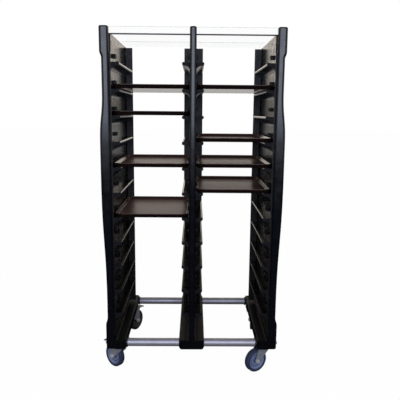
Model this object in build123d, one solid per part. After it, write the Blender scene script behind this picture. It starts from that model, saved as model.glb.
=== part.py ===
from build123d import *
import os
from math import cos, radians, sin

# A two-bay tray trolley: three moulded uprights carry tray ledges at a steady pitch.
# Frame: X to the right, Y to the rear, Z up, origin on the floor under the middle. Millimetres.

# Trays
tray_width = 370.0
tray_length = 530.0
tray_height = 20.0
tray_wall = 3.0
tray_flare = 9.0
tray_corner = 40.0
tray_floor_corner = 32.0
tray_floor_round = 5.0
tray_rim_round = 1.3

# Tray stack
levels = 11
tray_pitch = 125.0
tray_side_gap = 3.5
tray_overhang = 16.0
lowest_ledge_rise = 123.0
head_room = 137.0

# Tray ledges
ledge_reach = 40.0
nose_height = 17.0
seat_drop = 2.5
seat_ramp = 6.0
corbel_radius = 30.0
nose_corner = 5.0

# Tray keepers, the lugs above the front of each ledge
keeper_reach = 12.0
keeper_length = 50.0
keeper_height = 18.0
keeper_setback = 65.0
keeper_above_tray = 2.0
keeper_round = 4.0

# Panels
side_wall = 16.0
centre_wall = 26.0
rear_return = 106.0
stop_thickness = 18.0
stop_edge_round = 5.0
stop_fillet = 6.0
stop_back_fillet = 10.0
stop_top_drop = 5.0
bead_depth = 36.0
bead_width = 38.0
bead_round = 12.0
notch_depth = 12.0
notch_height = 85.0

# Front posts
post_nose = 30.0
post_lap = 22.0
post_inset = 5.0
post_round = 12.0
post_top_round = 7.0
centre_post_lip = 3.0
head_width = 44.0
waist_width = 35.5
belly_width = 50.0
shin_width = 34.0
foot_width = 43.0
head_length = 110.0
head_step = 38.0
waist_length = 146.0
belly_rise = 245.0
belly_length = 170.0
belly_fall = 650.0
flare_above_base = 66.0
flare_length = 50.0

# Base blocks
base_height = 57.0
base_toe = 52.0
base_round = 14.0
base_edge = 7.0
base_cove = 9.0
base_chamfer = 9.0
base_outer_round = 6.0

# Cross tubes
tube_diameter = 42.0
tube_wall = 2.0
tube_inset = 34.0
tube_rise = 24.0
tube_socket = 60.0
collar_width = 8.0
collar_wall = 4.0
plug_length = 30.0
tube_bolt_diameter = 10.0
tube_bolt_head = 17.0
tube_bolt_head_height = 6.5

# Top cover
cover_thickness = 4.0
cover_lip = 26.0
cover_bend = 6.0
cover_overhang = 2.0
strip_depth = 5.5
strip_height = 6.0
cover_screw_diameter = 5.0
cover_screw_head = 10.0
cover_screw_head_height = 2.5
cover_screw_length = 22.0
cover_screws_per_wall = 3
cover_screw_margin = 60.0

# Casters: plate and swivel
caster_inset_y = 96.0
plate_width = 84.0
plate_length = 104.0
plate_thickness = 4.0
plate_round = 8.0
plate_hole_margin = 12.0
plate_bolt_diameter = 8.0
plate_bolt_head = 13.0
plate_bolt_head_height = 5.3
plate_bolt_grip = 14.0
race_radius = 31.0
race_height = 8.0
race_gap = 0.5
fork_race_height = 4.0
fork_race_radius = 27.0
king_diameter = 12.0
king_head = 22.0
king_head_height = 6.0

# Casters: fork
trail = 45.0
wheel_headroom = 10.0
crown_thickness = 4.0
crown_front = 32.0
crown_rear = 42.0
crown_round = 15.0
fork_wall = 3.5
fork_bend = 7.0
fork_boss = 15.0
fork_heel = 20.0
fork_corner = 8.0
ear_margin = 8.0
ear_depth = 16.0

# Casters: wheel
wheel_diameter = 125.0
tyre_width = 32.0
tyre_depth = 14.5
tyre_shoulder = 7.0
hub_stand = 2.5
hub_gap = 0.5
hub_radius = 14.0
web_thickness = 12.0
rim_width = 28.0
rim_depth = 7.0
rim_slope = 6.0
rim_round = 2.0
axle_diameter = 10.0
axle_head = 17.0
axle_head_height = 6.5

# Casters: brake pedal
pedal_pivot_reach = 52.0
pedal_pivot_drop = 6.0
pedal_eye = 6.0
pedal_pin_diameter = 6.0
pedal_reach = 72.0
pedal_flat = 36.0
pedal_tip_drop = 7.0
pedal_side_gap = 2.0
pedal_thickness = 4.0
pedal_corner = 9.0
pedal_shoe_setback = 8.0
pedal_shoe_length = 12.0
pedal_shoe_height = 5.0

# Clearances
slip = 0.3
running = 0.06
bolt_clearance = 0.2
seat_clearance = 0.1

# Trays in place, counted from the top, and the way each caster trails, degrees from +X towards +Y
left_tray_levels = (2, 3, 5, 7)
right_tray_levels = (2, 4, 5, 6)
casters = {
    "front_left": (-1, -1, 138.7, True),
    "front_right": (1, -1, 211.0, False),
    "rear_left": (-1, 1, 62.0, True),
    "rear_right": (1, 1, 80.0, False),
}

# Places worked out from the sizes above
bay_width = tray_width + 2 * tray_side_gap
ledge_length = tray_length - tray_overhang
overall_depth = post_nose + ledge_length + rear_return
centre_face = centre_wall / 2
wall_in = centre_face + bay_width
wall_out = wall_in + side_wall
front_y = -overall_depth / 2
rear_y = overall_depth / 2
ledge_front = front_y + post_nose
stop_y = ledge_front + ledge_length
crown_bottom = wheel_diameter + wheel_headroom
crown_top = crown_bottom + crown_thickness
race_bottom = crown_top + fork_race_height
plate_bottom = race_bottom + race_height
base_bottom = plate_bottom + plate_thickness
base_top = base_bottom + base_height
ledge_levels = [base_top + lowest_ledge_rise + tray_pitch * step for step in range(levels)]
wall_top = ledge_levels[-1] + head_room
post_top = wall_top + cover_thickness + cover_lip
post_in = wall_in + post_inset
base_in = wall_in - base_toe
base_out = post_in + foot_width
nose_radius = nose_height / 2
tray_seat = nose_radius + slip
corbel = min(corbel_radius, ledge_reach - nose_radius)
stop_edge_x = wall_in - ledge_reach
tube_z = base_bottom + tube_rise
tube_radius = tube_diameter / 2
tube_end = base_in + tube_socket
wheel_radius = wheel_diameter / 2
rim_radius = wheel_radius - tyre_depth
hub_length = tyre_width + 2 * hub_stand
fork_gap = hub_length + 2 * hub_gap
fork_half = fork_gap / 2 + fork_wall
axle_radius = axle_diameter / 2
king_radius = king_diameter / 2
pin_radius = pedal_pin_diameter / 2
pedal_pivot_z = crown_top - pedal_pivot_drop


def plan(face, bottom, top):
    """Solid with the given outline seen from above."""
    return Pos(0, 0, bottom) * extrude(face, top - bottom)


def front_view(face, front, rear):
    """Solid with the given outline seen from the front: X across, Z up."""
    return Pos(0, front, 0) * extrude(Plane.XZ * face, front - rear)


def side_view(face, left, right):
    """Solid with the given outline seen from the side: Y across, Z up."""
    return Pos(left, 0, 0) * extrude(Plane.YZ * face, right - left)


def block(x0, x1, y0, y1, z0, z1):
    """Plain block between two corners."""
    return Pos((x0 + x1) / 2, (y0 + y1) / 2, (z0 + z1) / 2) * Box(x1 - x0, y1 - y0, z1 - z0)


def rod(radius, start, end, axis):
    """Round bar between two coordinates along the named axis, centred on it."""
    bar = Cylinder(radius, end - start, align=(Align.CENTER, Align.CENTER, Align.MIN))
    turn = {"x": Rot(0, 90, 0), "y": Rot(-90, 0, 0), "z": Rot(0, 0, 0)}[axis]
    shift = {"x": Pos(start, 0, 0), "y": Pos(0, start, 0), "z": Pos(0, 0, start)}[axis]
    return shift * turn * bar


def hexagon(across_flats, start, end, axis):
    """Hexagonal bar, such as a bolt's head or a nut."""
    bar = extrude(RegularPolygon(across_flats / 2, 6, major_radius=False), end - start)
    turn = {"x": Rot(0, 90, 0), "y": Rot(-90, 0, 0), "z": Rot(0, 0, 0)}[axis]
    shift = {"x": Pos(start, 0, 0), "y": Pos(0, start, 0), "z": Pos(0, 0, start)}[axis]
    return shift * turn * bar


def rounded(face, corners):
    """Face with the corner nearest each given point rounded by its radius."""
    for x, y, radius in corners:
        face = fillet(face.vertices().sort_by_distance((x, y))[0], radius)
    return face


def left_of(shape):
    """Mirror image on the left of the trolley."""
    return mirror(shape, about=Plane.YZ)


def group(shapes):
    """Several separate solids in one node."""
    return Compound(children=[solid for shape in shapes for solid in shape.solids()])


def s_curve(start, end):
    """Curve that leaves and arrives upright."""
    half = (start[1] + end[1]) / 2
    return Bezier(start, (start[0], half), (end[0], half), end)


def wall_top_cut(left, right):
    """Space above the tray stop, where the wall's top drops with a rounded corner."""
    drop = wall_top - stop_top_drop
    start = stop_y - stop_top_drop
    bend = stop_top_drop * sin(radians(45))
    edge = [
        ThreePointArc((start, wall_top), (start + bend, drop + bend), (stop_y, drop)),
        Line((stop_y, drop), (rear_y + 1, drop)),
        Line((rear_y + 1, drop), (rear_y + 1, wall_top + 1)),
        Line((rear_y + 1, wall_top + 1), (start, wall_top + 1)),
        Line((start, wall_top + 1), (start, wall_top)),
    ]
    return side_view(make_face(edge), left, right)


def strip_notch(left, right):
    """Notch at the front of a wall's top, which the cover's edge strip passes through."""
    front, rear = ledge_front - 1, ledge_front + notch_depth
    return block(left, right, front, rear, wall_top - notch_height, wall_top + 1)


def screw_places():
    """Y of each cover screw along a wall."""
    first = ledge_front + cover_screw_margin
    last = stop_y - cover_screw_margin
    gap = (last - first) / (cover_screws_per_wall - 1)
    return [first + gap * count for count in range(cover_screws_per_wall)]


def cover_screw_lines():
    """X and Y of every cover screw."""
    middle = wall_in + side_wall / 2
    return [(x, y) for x in (-middle, 0, middle) for y in screw_places()]


def screw_holes(x):
    """Pilot holes for the cover screws in one wall's top."""
    return [Pos(x, y, 0) * countersunk(seat_clearance) for y in screw_places()]


def side_panel():
    """Right-hand wall with the tray stop turned in from it and a bead down its rear edge."""
    stop_back = stop_y + stop_thickness
    bead_x = wall_in + bead_width
    bead_y = rear_y - bead_depth
    outline = [
        (wall_in, ledge_front),
        (wall_in, stop_y),
        (stop_edge_x, stop_y),
        (stop_edge_x, stop_back),
        (wall_in, stop_back),
        (wall_in, rear_y),
        (bead_x, rear_y),
        (bead_x, bead_y),
        (wall_out, bead_y),
        (wall_out, ledge_front),
    ]
    corners = [
        (wall_in, stop_y, stop_fillet),
        (stop_edge_x, stop_y, stop_edge_round),
        (stop_edge_x, stop_back, stop_edge_round),
        (wall_in, stop_back, stop_back_fillet),
        (wall_in, rear_y, bead_round),
        (bead_x, rear_y, bead_round),
        (bead_x, bead_y, bead_round),
        (wall_out, bead_y, stop_back_fillet),
    ]
    panel = plan(rounded(make_face(Polyline(*outline, close=True)), corners), base_top, wall_top)
    panel -= wall_top_cut(stop_edge_x - 1, bead_x + 1)
    panel -= strip_notch(wall_in - 1, wall_out + 1)
    return panel - screw_holes(wall_in + side_wall / 2)


def centre_panel():
    """Middle wall, with a tray stop turned out to both sides."""
    stop_back = stop_y + stop_thickness
    stop_edge = centre_face + ledge_reach
    half = [
        (centre_face, ledge_front),
        (centre_face, stop_y),
        (stop_edge, stop_y),
        (stop_edge, stop_back),
        (centre_face, stop_back),
        (centre_face, rear_y),
    ]
    outline = half + [(-x, y) for x, y in reversed(half)]
    face = make_face(Polyline(*outline, close=True))
    for side in (1, -1):
        corners = [
            (side * centre_face, stop_y, stop_fillet),
            (side * stop_edge, stop_y, stop_edge_round),
            (side * stop_edge, stop_back, stop_edge_round),
            (side * centre_face, stop_back, stop_back_fillet),
            (side * centre_face, rear_y, min(bead_round, centre_face - 1)),
        ]
        face = rounded(face, corners)
    panel = plan(face, base_top, wall_top)
    panel -= wall_top_cut(-stop_edge - 1, stop_edge + 1)
    panel -= strip_notch(-centre_face - 1, centre_face + 1)
    return panel - screw_holes(0)


def round_front(post, front):
    """Post with its long front edges and its top rounded over."""
    at_front = post.edges().filter_by(lambda edge: abs(edge.center().Y - front) < 0.01)
    upright = at_front.filter_by(lambda edge: edge.bounding_box().size.Z > edge.bounding_box().size.X)
    post = fillet(upright, post_round)
    top = post.faces().sort_by(Axis.Z)[-1]
    return fillet(top.edges(), post_top_round)


def side_post():
    """Right-hand front post: straight inside, with a waist, a belly and a flared foot outside."""
    head, waist, belly, shin, foot = [
        post_in + width for width in (head_width, waist_width, belly_width, shin_width, foot_width)
    ]
    head_end = post_top - head_length
    waist_start = head_end - head_step
    waist_end = waist_start - waist_length
    belly_top = waist_end - belly_rise
    belly_low = belly_top - belly_length
    belly_end = belly_low - belly_fall
    flare_low = base_top + flare_above_base
    flare_top = flare_low + flare_length
    edge = [
        Line((post_in, base_top), (post_in, post_top)),
        Line((post_in, post_top), (head, post_top)),
        Line((head, post_top), (head, head_end)),
        s_curve((head, head_end), (waist, waist_start)),
        Line((waist, waist_start), (waist, waist_end)),
        s_curve((waist, waist_end), (belly, belly_top)),
        Line((belly, belly_top), (belly, belly_low)),
        s_curve((belly, belly_low), (shin, belly_end)),
        Line((shin, belly_end), (shin, flare_top)),
        s_curve((shin, flare_top), (foot, flare_low)),
        Line((foot, flare_low), (foot, base_top)),
        Line((foot, base_top), (post_in, base_top)),
    ]
    post = round_front(front_view(make_face(edge), front_y, ledge_front + post_lap), front_y)
    rebate = block(post_in - 1, wall_out, ledge_front, ledge_front + post_lap + 1, 0, post_top + 1)
    return post - rebate


def centre_post():
    """Narrow front post on the middle wall."""
    half = centre_face + centre_post_lip
    return round_front(block(-half, half, front_y, ledge_front, base_top, post_top), front_y)


def ledge_outline():
    """Ledge seen from the front, from its wall at X 0 to its nose: seat, raised nose and corbel."""
    tip = ledge_reach - nose_radius
    seat = nose_radius - seat_drop
    foot = -nose_radius - corbel
    bend = corbel * (1 - cos(radians(45)))
    lines = [
        Line((0, seat), (tip - seat_ramp, seat)),
        Line((tip - seat_ramp, seat), (tip, nose_radius)),
        ThreePointArc((tip, nose_radius), (ledge_reach, 0), (tip, -nose_radius)),
        ThreePointArc((corbel, -nose_radius), (bend, -nose_radius - bend), (0, foot)),
        Line((0, foot), (0, seat)),
    ]
    if tip > corbel:
        lines.append(Line((tip, -nose_radius), (corbel, -nose_radius)))
    return make_face(lines)


def ledge():
    """One ledge on a wall at X 0, its nose towards +X, its nose centre at Z 0."""
    end = stop_y - slip
    bar = front_view(ledge_outline(), ledge_front, end)
    seen_from_above = make_face(
        Polyline((0, ledge_front), (ledge_reach, ledge_front), (ledge_reach, end), (0, end), close=True)
    )
    corners = [(0, end, stop_fillet), (ledge_reach, ledge_front, nose_corner)]
    low = -nose_radius - corbel - 1
    return bar & plan(rounded(seen_from_above, corners), low, nose_radius + 1)


def keeper():
    """One keeper lug on a wall at X 0, above the ledge whose nose centre is at Z 0."""
    low = tray_seat + tray_height + keeper_above_tray
    front = ledge_front + keeper_setback
    lug = block(0, keeper_reach, front, front + keeper_length, low, low + keeper_height)
    ends = lug.edges().filter_by(Axis.Z).group_by(Axis.X)[-1]
    return fillet(ends, keeper_round)


def on_walls(piece):
    """The piece at every level on each wall face, by face."""
    facing_out = mirror(piece, about=Plane.YZ)
    faces = {
        "left": [Pos(-wall_in, 0, z) * piece for z in ledge_levels],
        "centre_left": [Pos(-centre_face, 0, z) * facing_out for z in ledge_levels],
        "centre_right": [Pos(centre_face, 0, z) * piece for z in ledge_levels],
        "right": [Pos(wall_in, 0, z) * facing_out for z in ledge_levels],
    }
    return faces


def toe_outline():
    """Inner half of a base seen from the front, from its wall at X 0 inwards: cove, shoulder and chamfer."""
    shoulder = base_top - base_cove
    bend = base_cove * (1 - cos(radians(45)))
    edge = base_edge * (1 - cos(radians(45)))
    return [
        Line((0, base_bottom), (0, base_top)),
        ThreePointArc((0, base_top), (-bend, shoulder + bend), (-base_cove, shoulder)),
        Line((-base_cove, shoulder), (base_edge - base_toe, shoulder)),
        ThreePointArc(
            (base_edge - base_toe, shoulder),
            (edge - base_toe, shoulder - edge),
            (-base_toe, shoulder - base_edge),
        ),
        Line((-base_toe, shoulder - base_edge), (-base_toe, base_bottom + base_chamfer)),
        Line((-base_toe, base_bottom + base_chamfer), (base_chamfer - base_toe, base_bottom)),
        Line((base_chamfer - base_toe, base_bottom), (0, base_bottom)),
    ]


def toe():
    """Inner half of a base on a wall at X 0, its front and rear corners rounded in plan."""
    bar = front_view(make_face(toe_outline()), front_y, rear_y)
    seen_from_above = make_face(
        Polyline((0, front_y), (0, rear_y), (-base_toe, rear_y), (-base_toe, front_y), close=True)
    )
    corners = [(-base_toe, front_y, base_round), (-base_toe, rear_y, base_round)]
    return bar & plan(rounded(seen_from_above, corners), base_bottom - 1, base_top + 1)


def plate_bolt_places():
    """X and Y of the plate bolts about a caster's swivel axis."""
    across = plate_width / 2 - plate_hole_margin
    along = plate_length / 2 - plate_hole_margin
    return [(x * across, y * along) for x in (-1, 1) for y in (-1, 1)]


def caster_place(side, end):
    """X and Y of a caster's swivel axis."""
    return side * (base_in + plate_width / 2), end * (rear_y - caster_inset_y)


def side_base():
    """Right-hand base block with the tube sockets, tube bolt holes and caster bolt holes."""
    outline = [(wall_in, front_y), (wall_in, rear_y), (base_out, rear_y), (base_out, front_y)]
    corners = [(base_out, front_y, base_round), (base_out, rear_y, base_round)]
    under_wall = plan(rounded(make_face(Polyline(*outline, close=True)), corners), base_bottom, base_top)
    lower = under_wall.faces().sort_by(Axis.Z)[0].edges().filter_by(lambda edge: edge.center().X > wall_out)
    base = Pos(wall_in, 0, 0) * toe() + fillet(lower, base_outer_round)
    socket = rod(tube_radius + slip, base_in - 1, tube_end + slip, "x")
    bolt = rod(tube_bolt_diameter / 2 + bolt_clearance, tube_end - 1, base_out + 1, "x")
    for end in (-1, 1):
        base -= Pos(0, end * (rear_y - tube_inset), tube_z) * (socket + bolt)
        x, y = caster_place(1, end)
        hole_radius = plate_bolt_diameter / 2 + bolt_clearance
        hole = rod(hole_radius, base_bottom - 1, base_bottom + plate_bolt_grip, "z")
        base -= [Pos(x + dx, y + dy, 0) * hole for dx, dy in plate_bolt_places()]
    return base


def centre_base():
    """Middle base block, which both cross tubes pass through."""
    half = centre_face + base_toe
    left = Pos(-centre_face, 0, 0) * toe()
    base = block(-centre_face, centre_face, front_y, rear_y, base_bottom, base_top) + left + left_of(left)
    for end in (-1, 1):
        bore = rod(tube_radius + slip, -half - 1, half + 1, "x")
        base -= Pos(0, end * (rear_y - tube_inset), tube_z) * bore
    return base


def cross_tube(end):
    """Tube from one side base to the other."""
    tube = rod(tube_radius, -tube_end, tube_end, "x") - rod(tube_radius - tube_wall, -tube_end, tube_end, "x")
    return Pos(0, end * (rear_y - tube_inset), tube_z) * tube


def tube_fittings():
    """Collars, end plugs and bolts of both tubes, as three groups."""
    collars, plugs, bolts = [], [], []
    outer = tube_radius + collar_wall
    collar = rod(outer, base_in - collar_width, base_in, "x")
    collar -= rod(tube_radius + slip, base_in - collar_width, base_in, "x")
    bolt_radius = tube_bolt_diameter / 2
    plug = rod(tube_radius - tube_wall - seat_clearance, tube_end - plug_length, tube_end, "x")
    plug -= rod(bolt_radius + seat_clearance, tube_end - plug_length, tube_end, "x")
    bolt = rod(bolt_radius, tube_end - plug_length, base_out, "x")
    bolt += hexagon(tube_bolt_head, base_out, base_out + tube_bolt_head_height, "x")
    for end in (-1, 1):
        place = Pos(0, end * (rear_y - tube_inset), tube_z)
        for shape, pieces in ((collar, collars), (plug, plugs), (bolt, bolts)):
            pieces += [place * shape, left_of(place * shape)]
    return group(collars), group(plugs), group(bolts)


def countersunk(clearance):
    """Cover screw, or with a clearance the room for it: its head flush with the cover's top."""
    top = wall_top + cover_thickness
    shank = cover_screw_diameter / 2 + clearance
    head = cover_screw_head / 2 + clearance
    neck = top - cover_screw_head_height
    low = top - cover_screw_length
    half = [(0, low), (shank, low), (shank, neck), (head, top), (0, top)]
    return revolve(Plane.XZ * make_face(Polyline(*half, close=True)), Axis.Z)


def top_cover():
    """Clear sheet on the wall tops, with its front and rear edges bent up into lips."""
    front = ledge_front + slip
    top = wall_top + cover_thickness + cover_lip
    rear = stop_y
    outline = [
        (front, top),
        (front, wall_top),
        (rear, wall_top),
        (rear, top),
        (rear - cover_thickness, top),
        (rear - cover_thickness, wall_top + cover_thickness),
        (front + cover_thickness, wall_top + cover_thickness),
        (front + cover_thickness, top),
    ]
    corners = [
        (front, wall_top, cover_bend),
        (rear, wall_top, cover_bend),
        (rear - cover_thickness, wall_top + cover_thickness, cover_bend - cover_thickness),
        (front + cover_thickness, wall_top + cover_thickness, cover_bend - cover_thickness),
    ]
    half = wall_out + cover_overhang
    sheet = side_view(rounded(make_face(Polyline(*outline, close=True)), corners), -half, half)
    sheet -= block(wall_out, half + 1, front - 1, ledge_front + post_lap + slip, wall_top - 1, top + 1)
    sheet -= block(-half - 1, -wall_out, front - 1, ledge_front + post_lap + slip, wall_top - 1, top + 1)
    hole = countersunk(seat_clearance)
    return sheet - [Pos(x, y, 0) * hole for x, y in cover_screw_lines()]


def cover_strip():
    """Edge strip under the front of the cover, through the wall notches."""
    rear = ledge_front + notch_depth
    return block(-wall_out, wall_out, rear - strip_depth, rear, wall_top - strip_height, wall_top)


def cover_screws():
    """Countersunk screws that hold the cover down on the wall tops."""
    return group([Pos(x, y, 0) * countersunk(0) for x, y in cover_screw_lines()])


def caster_plate():
    """Top plate with the fixed upper race pressed out of it, about the swivel axis."""
    plate = plan(RectangleRounded(plate_width, plate_length, plate_round), plate_bottom, base_bottom)
    race = rod(race_radius, race_bottom, plate_bottom, "z")
    plate += fillet(race.edges().group_by(Axis.Z)[0], race_height / 3)
    hole = rod(plate_bolt_diameter / 2 + bolt_clearance, plate_bottom - 1, base_bottom + 1, "z")
    plate -= [Pos(x, y, 0) * hole for x, y in plate_bolt_places()]
    return plate - rod(king_radius + seat_clearance, race_bottom - 1, base_bottom + 1, "z")


def king_bolt():
    """Bolt on the swivel axis: fixed in the plate, with its head under the fork's crown."""
    head_top = crown_bottom - slip
    shank = rod(king_radius, head_top, base_bottom, "z")
    return shank + rod(king_head / 2, head_top - king_head_height, head_top, "z")


def plate_bolts():
    """Bolts of all four plates."""
    bolt = rod(plate_bolt_diameter / 2, plate_bottom, base_bottom + plate_bolt_grip, "z")
    bolt += hexagon(plate_bolt_head, plate_bottom - plate_bolt_head_height, plate_bottom, "z")
    bolts = []
    for side, end, angle, braked in casters.values():
        x, y = caster_place(side, end)
        bolts += [Pos(x + dx, y + dy, 0) * bolt for dx, dy in plate_bolt_places()]
    return group(bolts)


def channel(half, top, bend):
    """Fork's cross-section seen along the trail: a bent-down sheet's outer or inner outline."""
    face = make_face(Polyline((-half, 0), (-half, top), (half, top), (half, 0), close=True))
    return rounded(face, [(-half, top, bend), (half, top, bend)])


def fork(braked):
    """Pressed fork trailing towards +X: crown, two legs to the axle and, where braked, ears for the pedal."""
    rear = pedal_pivot_reach + ear_margin if braked else crown_rear
    outline = [
        (-crown_front, crown_top),
        (rear, crown_top),
        (rear, crown_top - ear_depth),
        (trail + fork_boss, wheel_radius),
        (trail - fork_boss, wheel_radius),
        (-crown_front, crown_top - fork_heel),
    ]
    corners = [(-crown_front, crown_top - fork_heel, fork_corner), (rear, crown_top - ear_depth, fork_corner)]
    legs = rounded(make_face(Polyline(*outline, close=True)), corners)
    legs += Pos(trail, wheel_radius) * Circle(fork_boss)
    inside = fork_gap / 2
    bent = channel(fork_half, crown_top, fork_bend) - channel(inside, crown_bottom, fork_bend - fork_wall)
    far = trail + fork_boss + ear_margin
    crown = Polyline(
        (-crown_front, -fork_half), (far, -fork_half), (far, fork_half), (-crown_front, fork_half), close=True
    )
    front_corners = [(-crown_front, -fork_half, crown_round), (-crown_front, fork_half, crown_round)]
    body = front_view(legs, -fork_half, fork_half) & side_view(bent, -crown_front, far)
    body &= plan(rounded(make_face(crown), front_corners), 0, crown_top)
    body -= block(crown_rear, far, -inside, inside, 0, crown_top)
    body += rod(fork_race_radius, crown_top, race_bottom - race_gap, "z")
    body -= rod(king_radius + running, 0, base_bottom, "z")
    body -= Pos(trail, 0, wheel_radius) * rod(axle_radius + seat_clearance, -fork_half, fork_half, "y")
    if braked:
        pin = rod(pin_radius + seat_clearance, -fork_half, fork_half, "y")
        body -= Pos(pedal_pivot_reach, 0, pedal_pivot_z) * pin
    return body


def axle(braked):
    """Axle bolt and its nut, with the pedal's pin where the fork has one."""
    place = Pos(trail, 0, wheel_radius)
    end = fork_half + axle_head_height
    bolt = rod(axle_radius, -fork_half, end, "y") + hexagon(axle_head, -end, -fork_half, "y")
    nut = hexagon(axle_head, fork_half, end, "y") - rod(axle_radius + seat_clearance, fork_half, end, "y")
    pieces = [place * bolt, place * nut]
    if braked:
        pieces.append(Pos(pedal_pivot_reach, 0, pedal_pivot_z) * rod(pin_radius, -fork_half, fork_half, "y"))
    return group(pieces)


def spun(half_outline):
    """Wheel part turned about the axle: radius, half width and corner rounding of each point on one side."""
    one_side = [(radius, width) for radius, width, corner in half_outline]
    other_side = [(radius, -width) for radius, width in reversed(one_side)]
    face = make_face(Polyline(*one_side, *other_side, close=True))
    for radius, width, corner in half_outline:
        if corner:
            face = rounded(face, [(radius, width, corner), (radius, -width, corner)])
    return Pos(trail, 0, wheel_radius) * revolve(face, Axis.Y)


def wheel_rim():
    """Moulded rim with its hub and dished web."""
    inner = rim_radius - rim_depth
    half_web = web_thickness / 2
    return spun(
        [
            (axle_radius + running, hub_length / 2, 0),
            (hub_radius, hub_length / 2, rim_round),
            (hub_radius + rim_round, half_web, rim_round),
            (inner - rim_slope, half_web, rim_round),
            (inner, rim_width / 2, rim_round),
            (rim_radius, rim_width / 2, 0),
        ]
    )


def tyre():
    """Rubber tyre with rounded shoulders, gripping the rim."""
    half = tyre_width / 2
    inner = rim_radius + seat_clearance
    return spun([(inner, half, rim_round), (wheel_radius, half, tyre_shoulder)])


def brake_pedal():
    """Brake pedal on its pin: eye, bent tread over the tyre and a shoe under it."""
    top = pedal_pivot_z + pedal_eye / 2
    low = top - pedal_thickness
    start = pedal_pivot_reach
    bend = start + pedal_flat
    tip = start + pedal_reach
    shoe = start + pedal_shoe_setback
    outline = [
        (start, top),
        (bend, top),
        (tip, top - pedal_tip_drop),
        (tip, low - pedal_tip_drop),
        (bend, low),
        (shoe + pedal_shoe_length, low),
        (shoe + pedal_shoe_length, low - pedal_shoe_height),
        (shoe, low - pedal_shoe_height),
        (shoe, low),
        (start, low),
    ]
    corners = [
        (bend, top, pedal_flat / 2),
        (bend, low, pedal_flat / 2),
        (tip, top - pedal_tip_drop, pedal_thickness / 3),
        (tip, low - pedal_tip_drop, pedal_thickness / 3),
        (shoe + pedal_shoe_length, low - pedal_shoe_height, pedal_thickness / 2),
        (shoe, low - pedal_shoe_height, pedal_thickness / 2),
    ]
    side = rounded(make_face(Polyline(*outline, close=True)), corners)
    side += Pos(start, pedal_pivot_z) * Circle(pedal_eye)
    side -= Pos(start, pedal_pivot_z) * Circle(pin_radius + running)
    half = fork_gap / 2 - pedal_side_gap
    back = start - pedal_eye
    tread = make_face(Polyline((back, -half), (tip, -half), (tip, half), (back, half), close=True))
    tread = rounded(tread, [(tip, -half, pedal_corner), (tip, half, pedal_corner)])
    return front_view(side, -half, half) & plan(tread, 0, base_bottom)


def tray():
    """Shallow tray with flared sides and rounded corners, its floor on Z 0, its rear edge on Y 0."""
    def dish(inset, floor):
        low_x, low_y = [size - 2 * (tray_flare + inset) for size in (tray_width, tray_length)]
        high_x, high_y = [size - 2 * inset for size in (tray_width, tray_length)]
        low = Pos(0, 0, floor) * RectangleRounded(low_x, low_y, tray_floor_corner - inset)
        high = Pos(0, 0, tray_height) * RectangleRounded(high_x, high_y, tray_corner - inset)
        return loft([low, high], ruled=True)
    shell = dish(0, 0) - dish(tray_wall, tray_wall)
    rim = shell.faces().sort_by(Axis.Z)[-1]
    shell = fillet(rim.edges(), tray_rim_round)
    floor = shell.faces().filter_by(Axis.Z).sort_by(Axis.Z)[1]
    shell = fillet(floor.edges(), tray_floor_round)
    return Pos(0, -tray_length / 2, 0) * shell


def tray_places():
    """Name, X and Z of every tray."""
    middle = centre_face + bay_width / 2
    bays = (("left", -middle, left_tray_levels), ("right", middle, right_tray_levels))
    for bay, x, filled in bays:
        for level in filled:
            yield f"tray_{bay}_{level}", x, ledge_levels[levels - level] + tray_seat


def caster_nodes(name, side, end, angle, braked):
    """Every node of one caster in its place, turned the way it trails."""
    x, y = caster_place(side, end)
    fixed = Pos(x, y, 0)
    turned = fixed * Rot(0, 0, angle)
    nodes = {
        f"{name}_caster_plate": fixed * caster_plate(),
        f"{name}_king_bolt": fixed * king_bolt(),
        f"{name}_fork": turned * fork(braked),
        f"{name}_axle": turned * axle(braked),
        f"{name}_rim": turned * wheel_rim(),
        f"{name}_tyre": turned * tyre(),
    }
    if braked:
        nodes[f"{name}_brake_pedal"] = turned * brake_pedal()
    return nodes


def trolley():
    """All nodes by name."""
    ledges = on_walls(ledge())
    keepers = on_walls(keeper())
    collars, plugs, tube_bolts = tube_fittings()
    nodes = {
        "left_side_panel": left_of(side_panel()),
        "right_side_panel": side_panel(),
        "centre_panel": centre_panel(),
        "left_front_post": left_of(side_post()),
        "right_front_post": side_post(),
        "centre_front_post": centre_post(),
        "left_base": left_of(side_base()),
        "right_base": side_base(),
        "centre_base": centre_base(),
        "front_cross_tube": cross_tube(-1),
        "rear_cross_tube": cross_tube(1),
        "tube_collars": collars,
        "tube_plugs": plugs,
        "tube_bolts": tube_bolts,
        "top_cover": top_cover(),
        "cover_strip": cover_strip(),
        "cover_screws": cover_screws(),
        "tray_keepers": group([lug for face in keepers.values() for lug in face]),
        "plate_bolts": plate_bolts(),
    }
    for face, pieces in ledges.items():
        nodes[f"{face}_tray_ledges"] = group(pieces)
    for name, (side, end, angle, braked) in casters.items():
        nodes.update(caster_nodes(name, side, end, angle, braked))
    flat_tray = tray()
    for name, x, z in tray_places():
        nodes[name] = Pos(x, stop_y - slip, z) * flat_tray
    return nodes


os.makedirs("parts", exist_ok=True)
for node, shape in trolley().items():
    export_step(shape, f"parts/{node}.step")
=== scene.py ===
"""Looks of a two-bay tray trolley: its finishes, small fittings, studio and camera."""

import logging
from dataclasses import dataclass
from enum import Enum
from functools import cache
from math import cos, pi, radians, sin

import bpy
from mathutils import Matrix, Vector


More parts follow.
